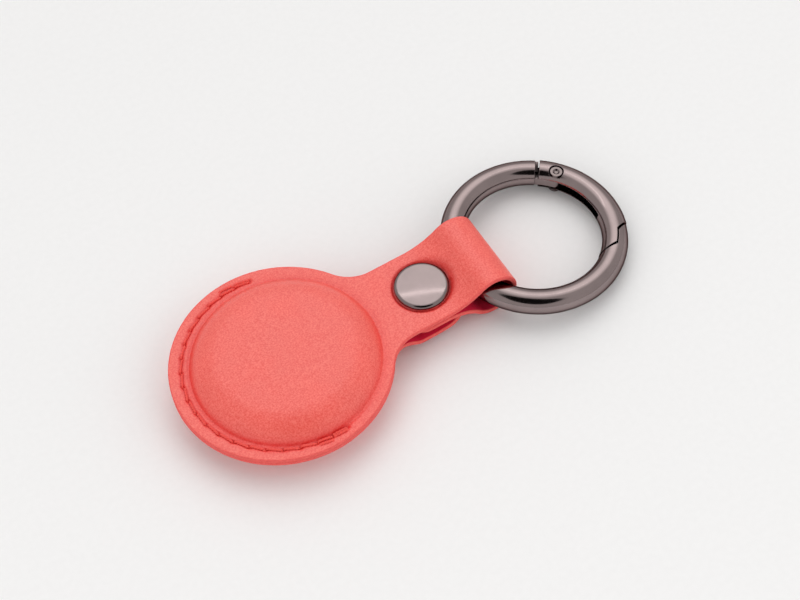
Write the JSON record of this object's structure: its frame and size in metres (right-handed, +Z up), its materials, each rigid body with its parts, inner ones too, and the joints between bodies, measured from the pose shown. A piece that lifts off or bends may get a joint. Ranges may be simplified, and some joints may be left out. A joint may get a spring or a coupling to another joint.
{
  "type": "tracker tag holder",
  "caption": "Round coral leather pouch for a disc-shaped tracker tag, with a stitched rim, a press-stud strap folded round a spring-gate ring and a closing tab that flexes open.",
  "frame": {"origin": "point on the flat of the back dome straight below the centre of the round disc; the part lies on its back", "axes": "+X from the pouch along the strap to the ring, +Z up out of the front face, +Y to the left of the strap"},
  "size_m": [0.0875, 0.039, 0.0097],
  "materials": {
    "leather": "fine-grained satin PU leather, coral red",
    "thread": "bonded polyester thread, red",
    "snap_gunmetal": "gunmetal plated, satin",
    "ring_gunmetal": "gunmetal plated, polished",
    "pin_steel": "gunmetal plated steel",
    "spring_steel": "bare spring steel"
  },
  "bodies": {
    "pouch": {"front_panel": "leather", "back_panel": "leather", "needle_thread": "thread", "bobbin_thread": "thread", "snap_cap": "snap_gunmetal", "snap_cap_post": "snap_gunmetal", "snap_socket": "snap_gunmetal", "snap_spring": "spring_steel"},
    "flap": {"back_flap": "leather", "snap_stud": "snap_gunmetal", "snap_stud_post": "snap_gunmetal"},
    "ring": {"ring_body": "ring_gunmetal", "gate_pin": "pin_steel", "gate_spring": "spring_steel"},
    "gate": {"ring_gate": "ring_gunmetal"}
  },
  "joints": [
    {"name": "flap_open", "type": "hinge", "parent": "pouch", "child": "flap", "pos_m": [0.0035, 0, 0], "axis": [0, 1, 0], "range_deg": [0, 35], "stiffness_Nm_per_rad": 0.005, "deforming": ["snap_spring"]},
    {"name": "ring_swing", "type": "hinge", "parent": "pouch", "child": "ring", "pos_m": [0.03815, 0, 0.00487], "axis": [0, -1, 0], "range_deg": [-85, 165]},
    {"name": "gate_open", "type": "hinge", "parent": "ring", "child": "gate", "pos_m": [0.06159, 0.00905, 0.00274], "axis": [-0.0905, 0, -0.9959], "range_deg": [0, 30], "stiffness_Nm_per_rad": 0.03, "springref_deg": -28.65, "deforming": ["gate_spring"]}
  ]
}
